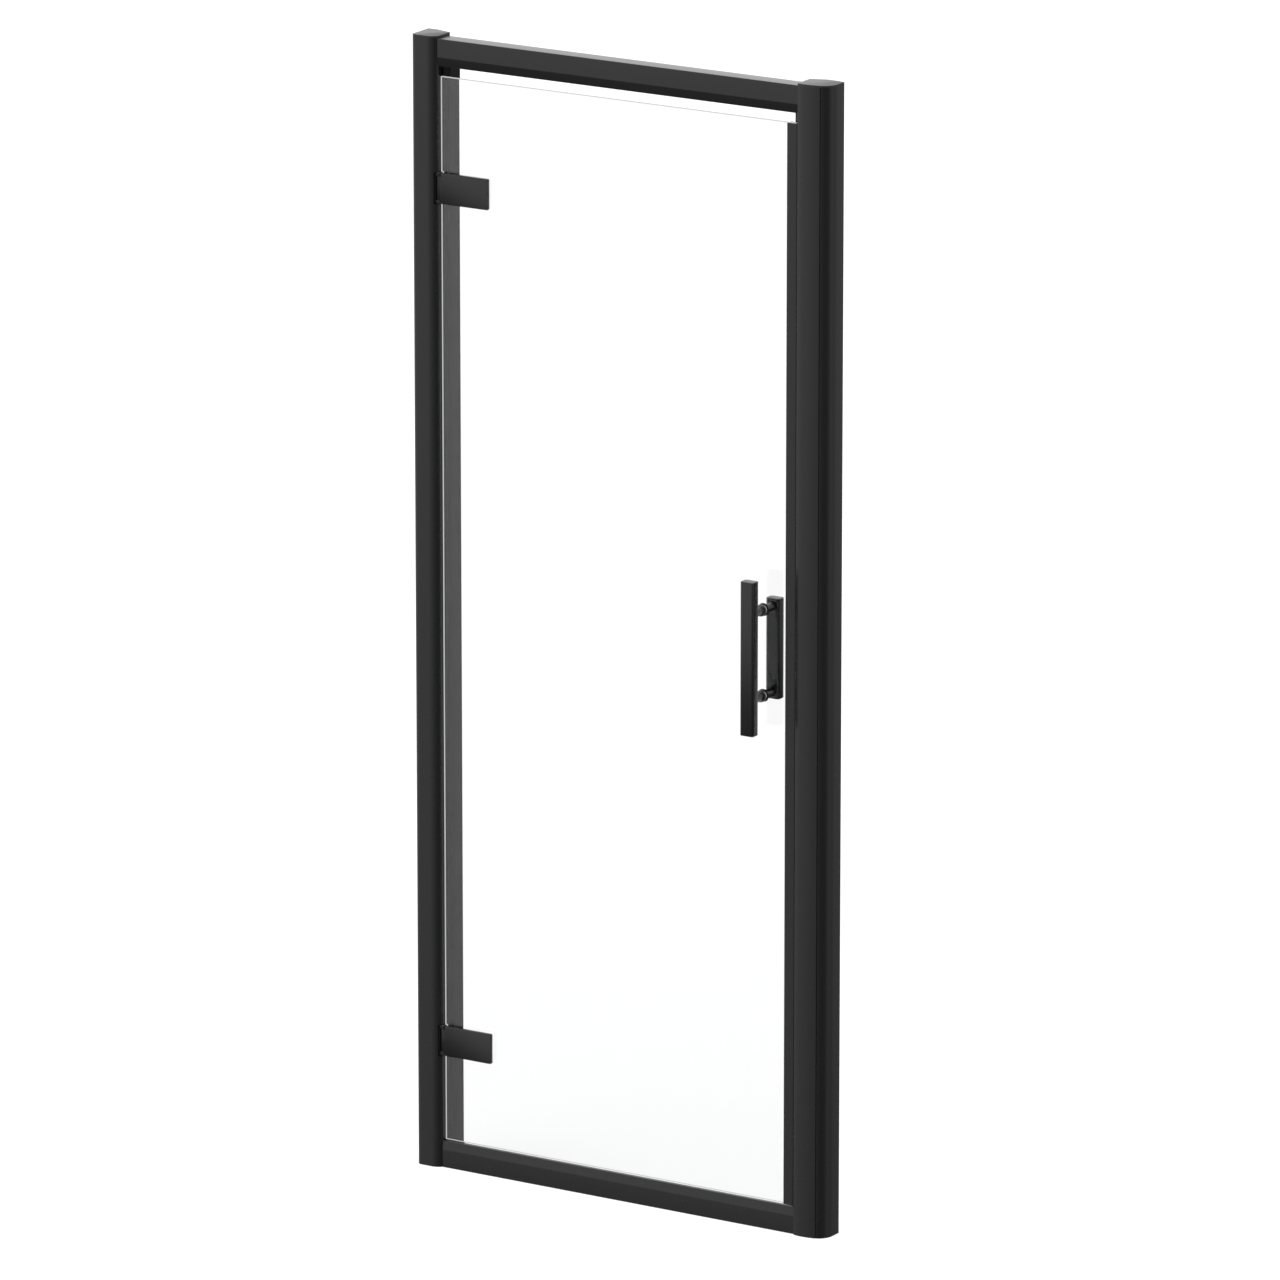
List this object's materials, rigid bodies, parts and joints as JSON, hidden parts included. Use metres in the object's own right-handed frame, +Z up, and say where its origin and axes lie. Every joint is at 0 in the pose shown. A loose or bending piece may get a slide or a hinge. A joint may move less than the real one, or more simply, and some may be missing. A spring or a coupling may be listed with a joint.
{
  "type": "hinged shower door",
  "caption": "Black-framed hinged shower door for a niche: clear glass leaf on plate hinges, back-to-back pull handle, closing profile with magnetic strip.",
  "frame": {"origin": "on the floor, at the middle of the frame's width and at the middle plane of the glass", "axes": "+Z up, +X from the hinge side to the strike side, -Y outward, the way the leaf opens"},
  "size_m": [0.777, 0.1, 1.9],
  "materials": {
    "black_frame": "satin black powder coat on aluminium extrusion",
    "black_hardware": "satin black powder coat",
    "clear_glass": "clear toughened glass, ground edges",
    "black_rubber": "matt black",
    "magnet_strip": "matt black flexible magnet",
    "black_plastic": "satin black",
    "white_nylon": "natural nylon",
    "clear_washer": "translucent soft plastic",
    "screw_steel": "stainless steel",
    "bracket_steel": "stainless steel"
  },
  "bodies": {
    "frame": {"bottom_rail": "black_frame", "hinge_adjusting_screws": "screw_steel", "hinge_jamb": "black_frame", "hinge_jamb_cap": "black_plastic", "hinge_screw_caps": "black_plastic", "hinge_stop": "black_frame", "hinge_stop_seal": "black_rubber", "hinge_wall_channel": "black_frame", "lower_hinge_bracket": "bracket_steel", "lower_hinge_bracket_screws": "screw_steel", "lower_hinge_pin": "screw_steel", "rail_screws": "screw_steel", "strike_adjusting_screws": "screw_steel", "strike_jamb": "black_frame", "strike_jamb_cap": "black_plastic", "strike_magnet_strip": "magnet_strip", "strike_screw_caps": "black_plastic", "strike_stop": "black_frame", "strike_wall_channel": "black_frame", "top_rail": "black_frame", "upper_hinge_bracket": "bracket_steel", "upper_hinge_bracket_screws": "screw_steel", "upper_hinge_pin": "screw_steel"},
    "door": {"closing_profile": "black_frame", "closing_profile_bottom_cap": "black_plastic", "closing_profile_gasket": "black_rubber", "closing_profile_top_cap": "black_plastic", "door_magnet_strip": "magnet_strip", "glass_panel": "clear_glass", "handle_back_bar": "black_hardware", "handle_back_standoffs": "black_hardware", "handle_front_bar": "black_hardware", "handle_front_standoffs": "black_hardware", "handle_glass_sleeves": "white_nylon", "handle_grub_screws": "screw_steel", "handle_studs": "screw_steel", "handle_washers": "clear_washer", "lower_hinge_back_gasket": "black_rubber", "lower_hinge_back_plate": "black_hardware", "lower_hinge_bushes": "black_plastic", "lower_hinge_clamp_screws": "screw_steel", "lower_hinge_front_gasket": "black_rubber", "lower_hinge_front_plate": "black_hardware", "lower_hinge_glass_sleeves": "white_nylon", "upper_hinge_back_gasket": "black_rubber", "upper_hinge_back_plate": "black_hardware", "upper_hinge_bushes": "black_plastic", "upper_hinge_clamp_screws": "screw_steel", "upper_hinge_front_gasket": "black_rubber", "upper_hinge_front_plate": "black_hardware", "upper_hinge_glass_sleeves": "white_nylon"}
  },
  "joints": [
    {"name": "door_hinge", "type": "hinge", "parent": "frame", "child": "door", "pos_m": [-0.3435, -0.0039, 0.934], "axis": [0, 0, -1], "range_deg": [0, 95]}
  ]
}
